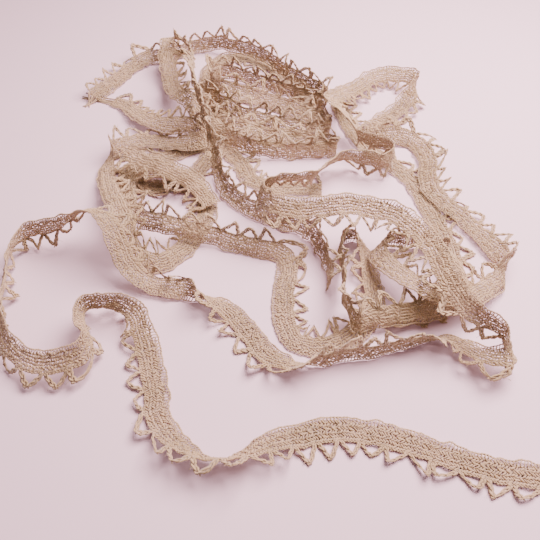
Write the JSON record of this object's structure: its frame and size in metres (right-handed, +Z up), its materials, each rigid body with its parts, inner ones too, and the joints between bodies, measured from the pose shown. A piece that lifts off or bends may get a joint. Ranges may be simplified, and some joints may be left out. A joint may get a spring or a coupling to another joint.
{
  "type": "heap of lace trim",
  "caption": "Loose heap of narrow ecru cotton bobbin lace edging with open picots, lying on a flat surface with its tail and frayed ends free.",
  "frame": {"origin": "centre of the bottom of the heap's bounding box, on the surface it lies on", "axes": "+Z up from the surface, +Y away from the viewer of the picture, the tail along the near side"},
  "size_m": [0.2818, 0.362, 0.048],
  "materials": {
    "lace_length_one": "matte ecru cotton thread",
    "lace_length_two": "matte ecru cotton thread",
    "lace_length_three": "matte ecru cotton thread",
    "lace_length_four": "matte ecru cotton thread",
    "lace_length_five": "matte ecru cotton thread"
  },
  "bodies": {
    "root": {"lace_length_one": "lace_length_one", "lace_length_two": "lace_length_two", "lace_length_three": "lace_length_three", "lace_length_four": "lace_length_four", "lace_length_five": "lace_length_five"}
  },
  "joints": []
}
